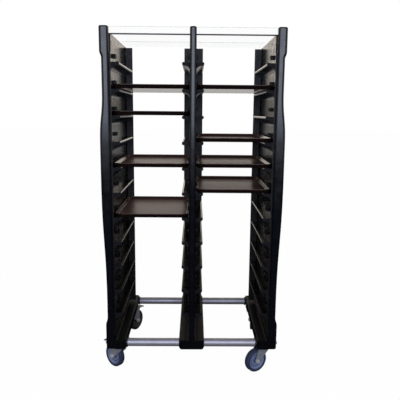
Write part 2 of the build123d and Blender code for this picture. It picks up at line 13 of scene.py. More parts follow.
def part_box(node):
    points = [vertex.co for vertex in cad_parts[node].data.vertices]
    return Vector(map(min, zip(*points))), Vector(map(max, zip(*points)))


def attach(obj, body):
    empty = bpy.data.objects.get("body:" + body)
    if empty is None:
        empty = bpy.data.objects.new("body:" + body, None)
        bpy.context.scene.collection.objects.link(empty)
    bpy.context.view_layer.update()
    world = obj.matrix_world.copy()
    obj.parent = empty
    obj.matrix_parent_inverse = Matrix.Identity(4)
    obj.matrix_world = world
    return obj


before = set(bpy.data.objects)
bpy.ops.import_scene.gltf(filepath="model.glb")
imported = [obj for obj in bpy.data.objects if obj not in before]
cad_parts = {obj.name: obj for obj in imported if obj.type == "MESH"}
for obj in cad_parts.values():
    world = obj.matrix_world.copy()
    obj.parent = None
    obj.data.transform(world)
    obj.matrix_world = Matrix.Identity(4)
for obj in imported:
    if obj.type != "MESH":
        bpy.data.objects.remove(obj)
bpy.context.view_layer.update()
log = logging.getLogger("trolley")

Material = bpy.types.Material
Node = bpy.types.Node
Socket = bpy.types.NodeSocket
Tree = bpy.types.NodeTree
Colour = tuple[float, float, float, float]
Point = tuple[float, float, float]
Range = tuple[float, float]

# A Mix node's two colour inputs, which share their names with its other inputs.
MIX_A, MIX_B = 6, 7
# Nearly all of a noise texture lies between these.
NOISE_LOW, NOISE_HIGH = 0.3, 0.7
# How strongly common plastics and acrylic bend light.
PLASTIC_IOR, ACRYLIC_IOR = 1.5, 1.49


def linear(code: str) -> Colour:
    """Turn an sRGB hex colour into linear light.

    Args:
        code: The colour as "#rrggbb".

    Returns:
        Red, green, blue and a full alpha.
    """
    parts = [int(code[i:i + 2], 16) / 255 for i in (1, 3, 5)]
    red, green, blue = [c / 12.92 if c <= 0.04045 else ((c + 0.055) / 1.055) ** 2.4 for c in parts]
    return (red, green, blue, 1.0)


def per_metre(millimetres: float) -> float:
    """Return a texture scale whose pattern repeats about every so many millimetres."""
    return 1000.0 / millimetres


def add_node(tree: Tree, kind: str, inputs: dict | None = None, **settings: object) -> Node:
    """Add one node with its settings, values and links.

    Args:
        tree: The tree that gets the node.
        kind: The node's type name.
        inputs: For each input, by name or number, a value, the socket that feeds it, or a node whose first
            live output feeds it.
        settings: The node's own properties.

    Returns:
        The new node.
    """
    node = tree.nodes.new(kind)
    for name, value in settings.items():
        setattr(node, name, value)
    for key, value in (inputs or {}).items():
        if isinstance(value, Node):
            value = next(socket for socket in value.outputs if socket.enabled)
        if isinstance(value, Socket):
            tree.links.new(value, node.inputs[key])
        else:
            node.inputs[key].default_value = value
    return node


def new_material(name: str) -> tuple[Material, Tree]:
    """Make an empty node material.

    Args:
        name: The material's name.

    Returns:
        The material and its tree.
    """
    material = bpy.data.materials.new(name)
    material.use_nodes = True
    material.node_tree.nodes.clear()
    return material, material.node_tree


def dress(node: str, material: Material) -> None:
    """Give a CAD node a finish.

    Args:
        node: The node's name.
        material: The finish.
    """
    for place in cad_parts[node].material_slots:
        place.material = material
    log.info("%s: %s", node, material.name)


@dataclass(frozen=True)
class MouldedPlastic:
    """Dyed plastic from a textured mould, worn paler in upright scuffs and in wide clouds."""

    name: str
    colour: str
    worn: str
    roughness: float = 0.40
    rough_spread: Range = (-0.04, 0.05)
    grain_mm: float = 2.4
    grain_strength: float = 0.10
    grain_depth: float = 0.0004
    scuff_mm: float = 9.0
    scuff_stretch: Point = (1.0, 1.0, 0.12)
    scuff_ends: Range = (0.6, 0.8)
    scuff_share: float = 0.55
    cloud_mm: float = 160.0
    cloud_share: float = 0.35
    patch_mm: float = 35.0
    gloss: float = 0.5
    end_roughness: float = 0.0
    end_facing: Range = (-0.95, -0.75)

    @cache
    def material(self) -> Material:
        """Build the finish.

        Returns:
            The material.
        """
        material, tree = new_material(self.name)
        place = add_node(tree, "ShaderNodeTexCoord").outputs["Object"]
        upright = add_node(tree, "ShaderNodeMapping", {"Vector": place, "Scale": self.scuff_stretch})
        scuff = add_node(tree, "ShaderNodeTexNoise", {
            "Vector": upright, "Scale": per_metre(self.scuff_mm), "Detail": 5.0,
        })
        scuffed = add_node(tree, "ShaderNodeMapRange", {
            "Value": scuff, "From Min": self.scuff_ends[0], "From Max": self.scuff_ends[1],
            "To Max": self.scuff_share,
        })
        cloud = add_node(tree, "ShaderNodeTexNoise", {
            "Vector": place, "Scale": per_metre(self.cloud_mm), "Detail": 3.0,
        })
        clouded = add_node(tree, "ShaderNodeMapRange", {
            "Value": cloud, "From Min": NOISE_LOW, "From Max": NOISE_HIGH, "To Max": self.cloud_share,
        })
        paler = add_node(tree, "ShaderNodeMath", {0: scuffed, 1: clouded}, operation="MAXIMUM")
        colour = add_node(tree, "ShaderNodeMix", {
            "Factor": paler, MIX_A: linear(self.colour), MIX_B: linear(self.worn),
        }, data_type="RGBA")
        # The grain is drawn a few times coarser than a real mould texture so that it shows.
        grain = add_node(tree, "ShaderNodeTexNoise", {
            "Vector": place, "Scale": per_metre(self.grain_mm), "Detail": 2.0,
        })
        relief = add_node(tree, "ShaderNodeBump", {
            "Height": grain, "Strength": self.grain_strength, "Distance": self.grain_depth,
        })
        shader = add_node(tree, "ShaderNodeBsdfPrincipled", {
            "Base Color": colour,
            "Roughness": self.sheen(tree, place),
            "Normal": relief,
            "IOR": PLASTIC_IOR,
            "Specular IOR Level": self.gloss,
        })
        add_node(tree, "ShaderNodeOutputMaterial", {"Surface": shader})
        return material

    def sheen(self, tree: Tree, place: Socket) -> Node:
        """Vary the roughness in patches, and leave the faces that look forward duller where the mould did.

        Args:
            tree: The material's tree.
            place: The piece's own coordinates.

        Returns:
            The node that gives the roughness.
        """
        patch = add_node(tree, "ShaderNodeTexNoise", {
            "Vector": place, "Scale": per_metre(self.patch_mm), "Detail": 3.0,
        })
        rough = add_node(tree, "ShaderNodeMapRange", {
            "Value": patch, "From Min": NOISE_LOW, "From Max": NOISE_HIGH,
            "To Min": self.roughness + self.rough_spread[0], "To Max": self.roughness + self.rough_spread[1],
        })
        if not self.end_roughness:
            return rough
        normal = add_node(tree, "ShaderNodeNewGeometry").outputs["True Normal"]
        along = add_node(tree, "ShaderNodeSeparateXYZ", {0: normal}).outputs["Y"]
        ends = add_node(tree, "ShaderNodeMapRange", {
            "Value": along, "From Min": self.end_facing[0], "From Max": self.end_facing[1],
            "To Min": self.end_roughness, "To Max": 0.0,
        })
        return add_node(tree, "ShaderNodeMath", {0: rough, 1: ends}, operation="MAXIMUM")


@dataclass(frozen=True)
class TrayLaminate:
    """Pressed tray laminate: a speckled non-slip face, painted shade on its sides, a smooth back with a
    painted reflection.
    """

    name: str
    colour: str
    speck: str
    # Painted shade: the near-black colour given to the faces that don't look up.
    edge: str
    # Painted reflection: the pale pink colour given to the faces that look down, standing in for bright
    # light mirrored there.
    painted_reflection_back: str
    top_roughness: float = 0.38
    back_roughness: float = 0.08
    gloss: float = 0.7
    top_facing: Range = (0.2, 0.8)
    back_facing: Range = (-0.98, -0.90)
    speck_mm: float = 5.0
    speck_ends: Range = (0.45, 0.75)
    grain_mm: float = 3.2
    grain_strength: float = 0.25
    grain_depth: float = 0.0005

    @cache
    def material(self) -> Material:
        """Build the finish.

        Returns:
            The material.
        """
        material, tree = new_material(self.name)
        place = add_node(tree, "ShaderNodeTexCoord").outputs["Object"]
        normal = add_node(tree, "ShaderNodeNewGeometry").outputs["True Normal"]
        upward = add_node(tree, "ShaderNodeSeparateXYZ", {0: normal}).outputs["Z"]
        top = add_node(tree, "ShaderNodeMapRange", {
            "Value": upward, "From Min": self.top_facing[0], "From Max": self.top_facing[1],
        })
        painted_reflection_under = add_node(tree, "ShaderNodeMapRange", {
            "Value": upward, "From Min": self.back_facing[0], "From Max": self.back_facing[1],
            "To Min": 1.0, "To Max": 0.0,
        })
        # Real specks and press grain are finer than a pixel here, so both are drawn coarser to show.
        speckle = add_node(tree, "ShaderNodeTexNoise", {
            "Vector": place, "Scale": per_metre(self.speck_mm), "Detail": 4.0,
        })
        specks = add_node(tree, "ShaderNodeMapRange", {
            "Value": speckle, "From Min": self.speck_ends[0], "From Max": self.speck_ends[1],
        })
        face = add_node(tree, "ShaderNodeMix", {
            "Factor": specks, MIX_A: linear(self.colour), MIX_B: linear(self.speck),
        }, data_type="RGBA")
        # Painted shade: faces that don't look up get the dark edge colour instead of the face colour.
        front = add_node(tree, "ShaderNodeMix", {
            "Factor": top, MIX_A: linear(self.edge), MIX_B: face,
        }, data_type="RGBA")
        # Painted reflection: faces that look down get the pale back colour.
        colour = add_node(tree, "ShaderNodeMix", {
            "Factor": painted_reflection_under, MIX_A: front, MIX_B: linear(self.painted_reflection_back),
        }, data_type="RGBA")
        rough = add_node(tree, "ShaderNodeMapRange", {
            "Value": top, "To Min": self.back_roughness, "To Max": self.top_roughness,
        })
        grain = add_node(tree, "ShaderNodeTexNoise", {
            "Vector": place, "Scale": per_metre(self.grain_mm), "Detail": 2.0,
        })
        height = add_node(tree, "ShaderNodeMath", {0: grain, 1: top}, operation="MULTIPLY")
        relief = add_node(tree, "ShaderNodeBump", {
            "Height": height, "Strength": self.grain_strength, "Distance": self.grain_depth,
        })
        shader = add_node(tree, "ShaderNodeBsdfPrincipled", {
            "Base Color": colour,
            "Roughness": rough,
            "Normal": relief,
            "IOR": PLASTIC_IOR,
            "Specular IOR Level": self.gloss,
        })
        add_node(tree, "ShaderNodeOutputMaterial", {"Surface": shader})
        return material


@dataclass(frozen=True)
class DrawnMetal:
    """Anodised aluminium with fine lines along X, as drawing leaves them, and dull clouds."""

    name: str
    colour: str
    dull: str
    roughness: float
    rough_spread: Range = (-0.05, 0.06)
    metal: float = 1.0
    line_mm: float = 3.0
    line_stretch: Point = (0.03, 1.0, 1.0)
    line_strength: float = 0.06
    line_depth: float = 0.0003
    cloud_mm: float = 45.0
    cloud_share: float = 0.6

    @cache
    def material(self) -> Material:
        """Build the finish.

        Returns:
            The material.
        """
        material, tree = new_material(self.name)
        place = add_node(tree, "ShaderNodeTexCoord").outputs["Object"]
        cloud = add_node(tree, "ShaderNodeTexNoise", {
            "Vector": place, "Scale": per_metre(self.cloud_mm), "Detail": 4.0,
        })
        dulled = add_node(tree, "ShaderNodeMapRange", {
            "Value": cloud, "From Min": NOISE_LOW, "From Max": NOISE_HIGH, "To Max": self.cloud_share,
        })
        colour = add_node(tree, "ShaderNodeMix", {
            "Factor": dulled, MIX_A: linear(self.colour), MIX_B: linear(self.dull),
        }, data_type="RGBA")
        # Real drawing lines are finer than a pixel here, so they are drawn coarser to show.
        drawn = add_node(tree, "ShaderNodeMapping", {"Vector": place, "Scale": self.line_stretch})
        lines = add_node(tree, "ShaderNodeTexNoise", {
            "Vector": drawn, "Scale": per_metre(self.line_mm), "Detail": 4.0,
        })
        rough = add_node(tree, "ShaderNodeMapRange", {
            "Value": lines, "From Min": NOISE_LOW, "From Max": NOISE_HIGH,
            "To Min": self.roughness + self.rough_spread[0], "To Max": self.roughness + self.rough_spread[1],
        })
        relief = add_node(tree, "ShaderNodeBump", {
            "Height": lines, "Strength": self.line_strength, "Distance": self.line_depth,
        })
        shader = add_node(tree, "ShaderNodeBsdfPrincipled", {
            "Base Color": colour, "Metallic": self.metal, "Roughness": rough, "Normal": relief,
        })
        add_node(tree, "ShaderNodeOutputMaterial", {"Surface": shader})
        return material


@dataclass(frozen=True)
class ZincPlate:
    """Zinc-plated steel: a pale metal, cloudy and half dull, with a fine crystal grain."""

    name: str
    colour: str
    dull: str
    roughness: float = 0.40
    rough_spread: Range = (-0.06, 0.08)
    metal: float = 1.0
    cloud_mm: float = 14.0
    crystal_mm: float = 1.5
    crystal_strength: float = 0.05
    crystal_depth: float = 0.0002

    @cache
    def material(self) -> Material:
        """Build the finish.

        Returns:
            The material.
        """
        material, tree = new_material(self.name)
        place = add_node(tree, "ShaderNodeTexCoord").outputs["Object"]
        cloud = add_node(tree, "ShaderNodeTexNoise", {
            "Vector": place, "Scale": per_metre(self.cloud_mm), "Detail": 5.0,
        })
        dulled = add_node(tree, "ShaderNodeMapRange", {
            "Value": cloud, "From Min": NOISE_LOW, "From Max": NOISE_HIGH,
        })
        colour = add_node(tree, "ShaderNodeMix", {
            "Factor": dulled, MIX_A: linear(self.colour), MIX_B: linear(self.dull),
        }, data_type="RGBA")
        rough = add_node(tree, "ShaderNodeMapRange", {
            "Value": cloud, "From Min": NOISE_LOW, "From Max": NOISE_HIGH,
            "To Min": self.roughness + self.rough_spread[0], "To Max": self.roughness + self.rough_spread[1],
        })
        # The plating's crystals are drawn coarser than real ones so that they show close up.
        crystals = add_node(tree, "ShaderNodeTexNoise", {
            "Vector": place, "Scale": per_metre(self.crystal_mm), "Detail": 3.0,
        })
        relief = add_node(tree, "ShaderNodeBump", {
            "Height": crystals, "Strength": self.crystal_strength, "Distance": self.crystal_depth,
        })
        shader = add_node(tree, "ShaderNodeBsdfPrincipled", {
            "Base Color": colour, "Metallic": self.metal, "Roughness": rough, "Normal": relief,
        })
        add_node(tree, "ShaderNodeOutputMaterial", {"Surface": shader})
        return material


@dataclass(frozen=True)
class ClearSheet:
    """Bent acrylic sheet: clear and glossy, so that little but the sawn edges of its lips shows."""

    name: str
    tint: str
    film: float = 0.02
    edge: float = 0.40
    edge_depth: float = 0.0015
    edge_blur: float = 0.0005
    smear_mm: float = 120.0
    smear_roughness: Range = (0.02, 0.06)

    @cache
    def material(self, lip_top: float) -> Material:
        """Build the finish.

        Args:
            lip_top: The height of the lips' upper edges, in metres.

        Returns:
            The material.
        """
        material, tree = new_material(self.name)
        place = add_node(tree, "ShaderNodeTexCoord").outputs["Object"]
        height = add_node(tree, "ShaderNodeSeparateXYZ", {0: place}).outputs["Z"]
        edge_foot = lip_top - self.edge_depth
        cover = add_node(tree, "ShaderNodeMapRange", {
            "Value": height, "From Min": edge_foot - self.edge_blur, "From Max": edge_foot + self.edge_blur,
            "To Min": self.film, "To Max": self.edge,
        })
        smear = add_node(tree, "ShaderNodeTexNoise", {
            "Vector": place, "Scale": per_metre(self.smear_mm), "Detail": 2.0,
        })
        rough = add_node(tree, "ShaderNodeMapRange", {
            "Value": smear, "From Min": NOISE_LOW, "From Max": NOISE_HIGH,
            "To Min": self.smear_roughness[0], "To Max": self.smear_roughness[1],
        })
        shader = add_node(tree, "ShaderNodeBsdfPrincipled", {
            "Base Color": linear(self.tint), "Roughness": rough, "IOR": ACRYLIC_IOR, "Alpha": cover,
        })
        add_node(tree, "ShaderNodeOutputMaterial", {"Surface": shader})
        return material


@dataclass(frozen=True)
class WheelFinish:
    """Moulded wheel part with turned rings about its axle and, on a tyre, slanting tread lines; a rim gets
    painted shade in its grooves.
    """

    name: str
    colour: str
    worn: str
    roughness: float
    rough_spread: Range = (-0.05, 0.08)
    ring_mm: float = 8.0
    ring_strength: float = 0.5
    ring_depth: float = 0.001
    painted_groove_shade: str = "#000000"
    groove_shade_share: float = 0.0
    groove_top: float = 0.6
    tread_lines: int = 0
    tread_slant: float = 25.0
    dust_mm: float = 18.0
    dust_share: float = 0.7

    def material(self, centre: Vector, angle: float) -> Material:
        """Build the finish for one wheel.

        Args:
            centre: The middle of the wheel, in metres.
            angle: The way the caster trails, in radians from +X.

        Returns:
            The material.
        """
        material, tree = new_material(self.name)
        place = add_node(tree, "ShaderNodeTexCoord").outputs["Object"]
        height = self.rings(tree, place, centre, angle)
        dust = add_node(tree, "ShaderNodeTexNoise", {
            "Vector": place, "Scale": per_metre(self.dust_mm), "Detail": 5.0,
        })
        dusty = add_node(tree, "ShaderNodeMapRange", {
            "Value": dust, "From Min": NOISE_LOW, "From Max": NOISE_HIGH, "To Max": self.dust_share,
        })
        colour = add_node(tree, "ShaderNodeMix", {
            "Factor": dusty, MIX_A: linear(self.colour), MIX_B: linear(self.worn),
        }, data_type="RGBA")
        # Painted shade: the low parts of the rings, the grooves, are darkened towards the groove colour.
        if self.groove_shade_share:
            groove_shade_mask = add_node(tree, "ShaderNodeMapRange", {
                "Value": height, "From Max": self.groove_top, "To Min": self.groove_shade_share, "To Max": 0.0,
            })
            colour = add_node(tree, "ShaderNodeMix", {
                "Factor": groove_shade_mask, MIX_A: colour, MIX_B: linear(self.painted_groove_shade),
            }, data_type="RGBA")
        rough = add_node(tree, "ShaderNodeMapRange", {
            "Value": dust, "From Min": NOISE_LOW, "From Max": NOISE_HIGH,
            "To Min": self.roughness + self.rough_spread[0], "To Max": self.roughness + self.rough_spread[1],
        })
        relief = add_node(tree, "ShaderNodeBump", {
            "Height": height, "Strength": self.ring_strength, "Distance": self.ring_depth,
        })
        shader = add_node(tree, "ShaderNodeBsdfPrincipled", {
            "Base Color": colour, "Roughness": rough, "Normal": relief, "IOR": PLASTIC_IOR,
        })
        add_node(tree, "ShaderNodeOutputMaterial", {"Surface": shader})
        return material

    def rings(self, tree: Tree, place: Socket, centre: Vector, angle: float) -> Node:
        """Draw the rings and tread lines as a height.

        Args:
            tree: The material's tree.
            place: The wheel's own coordinates.
            centre: The middle of the wheel, in metres.
            angle: The way the caster trails, in radians from +X.

        Returns:
            The node that gives the height, 0 to 1.
        """
        to_centre = Matrix.Rotation(-angle, 3, "Z") @ -centre
        turned = add_node(tree, "ShaderNodeMapping", {
            "Vector": place, "Location": to_centre, "Rotation": (0.0, 0.0, -angle),
        })
        axes = add_node(tree, "ShaderNodeSeparateXYZ", {0: turned}).outputs
        across = add_node(tree, "ShaderNodeCombineXYZ", {"X": axes["X"], "Z": axes["Z"]})
        radius = add_node(tree, "ShaderNodeVectorMath", {0: across}, operation="LENGTH")
        count = add_node(tree, "ShaderNodeMath", {
            0: radius, 1: per_metre(self.ring_mm),
        }, operation="MULTIPLY")
        height = add_node(tree, "ShaderNodeMath", {0: count, 1: 1.0}, operation="PINGPONG")
        if not self.tread_lines:
            return height
        around = add_node(tree, "ShaderNodeMath", {0: axes["Z"], 1: axes["X"]}, operation="ARCTAN2")
        wound = add_node(tree, "ShaderNodeMath", {
            0: axes["Y"], 1: self.tread_slant, 2: around,
        }, operation="MULTIPLY_ADD")
        per_radian = self.tread_lines / (2 * pi)
        line = add_node(tree, "ShaderNodeMath", {0: wound, 1: per_radian}, operation="MULTIPLY")
        lines = add_node(tree, "ShaderNodeMath", {0: line, 1: 1.0}, operation="PINGPONG")
        return add_node(tree, "ShaderNodeMath", {0: height, 1: lines}, operation="MINIMUM")


# Dyed polyethylene posts: blue-black, with a sheen that runs down the rounded front.
POST_PLASTIC = MouldedPlastic(
    "moulded_post_polyethylene", "#0e0f14", "#14171d", roughness=0.18, grain_strength=0.03,
)
# Dyed polyethylene panels: warm black, glossy enough to mirror what is behind, dull on their front edges.
PANEL_PLASTIC = MouldedPlastic(
    "moulded_panel_polyethylene", "#0c0b0a", "#141211", roughness=0.25,
    grain_strength=0.02, end_roughness=0.5,
)
# Ledges rubbed smooth by trays: the long edges catch a thin line of light, the front ends stay dull.
LEDGE_PLASTIC = MouldedPlastic(
    "moulded_ledge_polyethylene", "#0b0a0d", "#131216", roughness=0.18, gloss=0.38,
    grain_strength=0.02, end_roughness=0.7,
)
# Small nylon lugs: matt black, so that they read as dark notches on the walls.
KEEPER_PLASTIC = MouldedPlastic("moulded_keeper_nylon", "#060607", "#0c0c0e", roughness=0.5, gloss=0.2)
# Base blocks near the floor: scuffed, almost without a sheen.
BASE_PLASTIC = MouldedPlastic("moulded_base_polyethylene", "#07070a", "#101115", roughness=0.42, gloss=0.2)
# Nylon collars on the tubes: a dark grey, a little paler than the bases.
COLLAR_PLASTIC = MouldedPlastic("moulded_collar_nylon", "#151517", "#212124", roughness=0.45)
# Pressed-in tube plugs: plain dull grey-black.
PLUG_PLASTIC = MouldedPlastic("moulded_plug_nylon", "#1a1a1c", "#262628", roughness=0.5)
# Polyester laminate: a brown face dulled by its non-slip grain; painted shade on its sides, painted
# reflection on its glossy back.
TRAY_LAMINATE = TrayLaminate("pressed_tray_laminate", "#6b4b41", "#7b5c51", edge="#1c1210", painted_reflection_back="#f6d4ca")
# The rolled rim of the same laminate, rubbed paler.
RIM_LAMINATE = MouldedPlastic("rolled_rim_laminate", "#5f4a41", "#6e584e", roughness=0.40)
# Anodised tube: a soft lilac grey, with a broad streak of light along its top.
TUBE_ALUMINIUM = DrawnMetal("anodised_tube_aluminium", "#dfdbe1", "#c9c5cb", roughness=0.50, metal=0.7)
# Anodised strip: a thin dark grey line under the cover.
STRIP_ALUMINIUM = DrawnMetal("anodised_strip_aluminium", "#4c4d51", "#3c3d41", roughness=0.55)
# Zinc-plated pressings: pale grey, with no sharp mirror in them.
FORK_ZINC = ZincPlate("zinc_plated_fork_steel", "#c8c8cd", "#b0b1b8", roughness=0.45, metal=0.45)
# The same plating on the pedal, scuffed greyer by shoes.
PEDAL_ZINC = ZincPlate("zinc_plated_pedal_steel", "#a9aaac", "#939498", roughness=0.42, metal=0.6)
# Pale zinc on bolts and screws, painted near white and less metallic as a painted highlight: small warm
# white glints.
BOLT_ZINC_PAINTED_GLINT = ZincPlate(
    "zinc_bolt_steel_painted_glint", "#f4f1ea", "#dedbd4", roughness=0.32, metal=0.3, cloud_mm=5.0,
)
# Clear acrylic: almost nothing but a faint line along each lip.
COVER_ACRYLIC = ClearSheet("clear_cover_acrylic", "#c9d2d4")
# Nylon wheel centre: dusty blue-grey, with painted shade darkening the turned grooves round the hub.
RIM_PLASTIC = WheelFinish(
    "moulded_rim_nylon", "#8a98c2", "#9ca5bd", 0.36, ring_mm=8.0, ring_strength=0.5,
    painted_groove_shade="#2b3350", groove_shade_share=0.8,
)
# Blue-grey rubber: dull, with fine slanting lines across the tread.
TYRE_RUBBER = WheelFinish(
    "moulded_tyre_rubber", "#323c5a", "#464e66", 0.52, ring_mm=6.0, ring_strength=0.45, tread_lines=90,
)
# Rear wheel centres: painted darker, a dull brown-grey that hides the blue, as painted shade, with painted
# shade in the grooves.
REAR_RIM_PAINTED_SHADE = WheelFinish(
    "painted_shade_rim_nylon", "#57504d", "#665e5a", 0.5, ring_mm=8.0, ring_strength=0.5,
    painted_groove_shade="#1f1b1a", groove_shade_share=0.8,
)
# Rear tyres: painted nearly black as painted shade, darker than the front ones, with the same tread lines.
REAR_TYRE_PAINTED_SHADE = WheelFinish(
    "painted_shade_tyre_rubber", "#2b2725", "#3a3533", 0.6, ring_mm=6.0, ring_strength=0.45, tread_lines=90,
)


class Bay(Enum):
    """One of the two bays, as its trays are named."""

    LEFT = "left"
    RIGHT = "right"


class Grower:
    """Makes a piece from a node tree of named inputs, then bakes it to a plain mesh."""

    def __init__(self, name: str, inputs: dict[str, str]) -> None:
        """Start a tree.

        Args:
            name: The tree's name.
            inputs: The socket type of each named input.
        """
        self.tree = bpy.data.node_groups.new(name, "GeometryNodeTree")
        for key, kind in inputs.items():
            self.tree.interface.new_socket(key, in_out="INPUT", socket_type=kind)
        self.tree.interface.new_socket("Geometry", in_out="OUTPUT", socket_type="NodeSocketGeometry")
        self.given = add_node(self.tree, "NodeGroupInput").outputs

    def close(self, geometry: Node, material: Material) -> None:
        """End the tree with its instances made real, shaded smooth and given their material.

        Args:
            geometry: The node that gives the finished layout.
            material: The piece's finish.
        """
        real = add_node(self.tree, "GeometryNodeRealizeInstances", {"Geometry": geometry})
        smooth = add_node(self.tree, "GeometryNodeSetShadeSmooth", {"Geometry": real})
        dressed = add_node(self.tree, "GeometryNodeSetMaterial", {"Geometry": smooth, "Material": material})
        add_node(self.tree, "NodeGroupOutput", {0: dressed})

    def grow(self, name: str, body: str, slot: str, values: dict[str, object]) -> None:
        """Bake one piece and hang it on its body.

        Args:
            name: The piece's name.
            body: The body it rides on.
            slot: Not used.
            values: The tree's inputs, by name.
        """
        seed = bpy.data.objects.new(f"{name}_seed", bpy.data.meshes.new(f"{name}_seed"))
        bpy.context.scene.collection.objects.link(seed)
        modifier = seed.modifiers.new("grow", "NODES")
        modifier.node_group = self.tree
        for item in self.tree.interface.items_tree:
            if item.in_out == "INPUT":
                modifier[item.identifier] = values[item.name]
        seed.update_tag()
        grown = seed.evaluated_get(bpy.context.evaluated_depsgraph_get())
        mesh = bpy.data.meshes.new_from_object(grown)
        mesh.name = name
        bpy.data.objects.remove(seed)
        piece = bpy.data.objects.new(name, mesh)
        bpy.context.scene.collection.objects.link(piece)
        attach(piece, body)
        log.info("%s: grown on %s", name, body)


@dataclass
class Uprights:
    """The three uprights: panels, posts, ledges, keepers and bases."""

    walls: tuple[str, ...] = ("left", "centre", "right")
    faces: tuple[str, ...] = ("left", "centre_left", "centre_right", "right")

    def dress(self) -> None:
        """Give every piece of the uprights its moulded finish."""
        for wall in self.walls:
            dress(f"{wall}_front_post", POST_PLASTIC.material())
            dress(f"{wall}_base", BASE_PLASTIC.material())
            panel = "centre_panel" if wall == "centre" else f"{wall}_side_panel"
            dress(panel, PANEL_PLASTIC.material())
        for face in self.faces:
            dress(f"{face}_tray_ledges", LEDGE_PLASTIC.material())
        dress("tray_keepers", KEEPER_PLASTIC.material())


@dataclass
class FrameAndCover:
    """Cross tubes with their fittings, and the clear top cover."""

    tubes: tuple[str, ...] = ("front_cross_tube", "rear_cross_tube")
    fasteners: tuple[str, ...] = ("tube_bolts", "plate_bolts", "cover_screws")

    def dress(self) -> None:
        """Give the tubes, fittings and cover their finishes."""
        for tube in self.tubes:
            dress(tube, TUBE_ALUMINIUM.material())
        for fastener in self.fasteners:
            dress(fastener, BOLT_ZINC_PAINTED_GLINT.material())
        dress("tube_collars", COLLAR_PLASTIC.material())
        dress("tube_plugs", PLUG_PLASTIC.material())
        dress("cover_strip", STRIP_ALUMINIUM.material())
        lip_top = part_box("top_cover")[1][2]
        dress("top_cover", COVER_ACRYLIC.material(lip_top))


@dataclass
class Caster:
    """One swivel caster, which trails from its swivel axis at an angle in degrees.

    Lengths are in metres. The ribs start from the foot of the swivel axis, before the caster is turned.
    """

    name: str
    angle: float
    braked: bool
    rim: WheelFinish = RIM_PLASTIC
    tyre: WheelFinish = TYRE_RUBBER
    rib_start: Point = (0.0935, 0.0, 0.1349)
    rib_slope: float = 11.0
    rib_count: int = 5
    rib_pitch: float = 0.0055
    rib_length: float = 0.022
    rib_radius: float = 0.0012
    rib_sides: int = 10
    rib_steps: int = 13
    rib_fullness: float = 6.0

    def build(self) -> None:
        """Dress the caster, and its pedal where it has one."""
        angle = radians(self.angle)
        low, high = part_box(f"{self.name}_tyre")
        middle = (Vector(low) + Vector(high)) / 2
        for part in ("caster_plate", "fork"):
            dress(f"{self.name}_{part}", FORK_ZINC.material())
        for part in ("king_bolt", "axle"):
            dress(f"{self.name}_{part}", BOLT_ZINC_PAINTED_GLINT.material())
        dress(f"{self.name}_rim", self.rim.material(middle, angle))
        dress(f"{self.name}_tyre", self.tyre.material(middle, angle))
        if self.braked:
            dress(f"{self.name}_brake_pedal", PEDAL_ZINC.material())
            self.grow_ribs()

    def rib_tree(self) -> Grower:
        """Lay out a row of ribs with rounded tops and ends on the pedal's tread.

        Returns:
            The tree, ready to grow.
        """
        grower = Grower("pedal_ribs", {
            "Count": "NodeSocketInt",
            "Pitch": "NodeSocketFloat",
            "Length": "NodeSocketFloat",
            "Radius": "NodeSocketFloat",
            "Start": "NodeSocketVector",
            "Slope": "NodeSocketVector",
            "Axis": "NodeSocketVector",
            "Turn": "NodeSocketVector",
        })
        tree, given = grower.tree, grower.given
        half = add_node(tree, "ShaderNodeMath", {0: given["Length"], 1: 0.5}, operation="MULTIPLY")
        end = add_node(tree, "ShaderNodeCombineXYZ", {"Y": half})
        start = add_node(tree, "ShaderNodeVectorMath", {0: end, 1: (-1, -1, -1)}, operation="MULTIPLY")
        line = add_node(tree, "GeometryNodeCurvePrimitiveLine", {"Start": start, "End": end})
        stepped = add_node(tree, "GeometryNodeResampleCurve", {"Curve": line, "Count": self.rib_steps})
        along = add_node(tree, "GeometryNodeSplineParameter").outputs["Factor"]
        from_middle = add_node(tree, "ShaderNodeMath", {0: along, 1: 2.0, 2: -1.0}, operation="MULTIPLY_ADD")
        outward = add_node(tree, "ShaderNodeMath", {0: from_middle}, operation="ABSOLUTE")
        lost = add_node(tree, "ShaderNodeMath", {0: outward, 1: self.rib_fullness}, operation="POWER")
        full = add_node(tree, "ShaderNodeMath", {0: 1.0, 1: lost}, operation="SUBTRACT")
        rounded = add_node(tree, "GeometryNodeSetCurveRadius", {"Curve": stepped, "Radius": full})
        profile = add_node(tree, "GeometryNodeCurvePrimitiveCircle", {
            "Resolution": self.rib_sides, "Radius": given["Radius"],
        })
        rib = add_node(tree, "GeometryNodeCurveToMesh", {"Curve": rounded, "Profile Curve": profile})
        step = add_node(tree, "ShaderNodeCombineXYZ", {"X": given["Pitch"]})
        row = add_node(tree, "GeometryNodeMeshLine", {"Count": given["Count"], "Offset": step})
        ribs = add_node(tree, "GeometryNodeInstanceOnPoints", {"Points": row, "Instance": rib})
        on_tread = add_node(tree, "GeometryNodeTransform", {
            "Geometry": ribs, "Translation": given["Start"], "Rotation": given["Slope"],
        })
        turned = add_node(tree, "GeometryNodeTransform", {
            "Geometry": on_tread, "Translation": given["Axis"], "Rotation": given["Turn"],
        })
        grower.close(turned, PEDAL_ZINC.material())
        return grower

    def grow_ribs(self) -> None:
        """Press grip ribs into the pedal's tread."""
        low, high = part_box(f"{self.name}_king_bolt")
        self.rib_tree().grow(f"{self.name}_pedal_ribs", f"{self.name}_brake", "pedal", {
            "Count": self.rib_count,
            "Pitch": self.rib_pitch,
            "Length": self.rib_length,
            "Radius": self.rib_radius,
            "Start": self.rib_start,
            "Slope": (0.0, radians(self.rib_slope), 0.0),
            "Axis": ((low[0] + high[0]) / 2, (low[1] + high[1]) / 2, 0.0),
            "Turn": (0.0, 0.0, radians(self.angle)),
        })


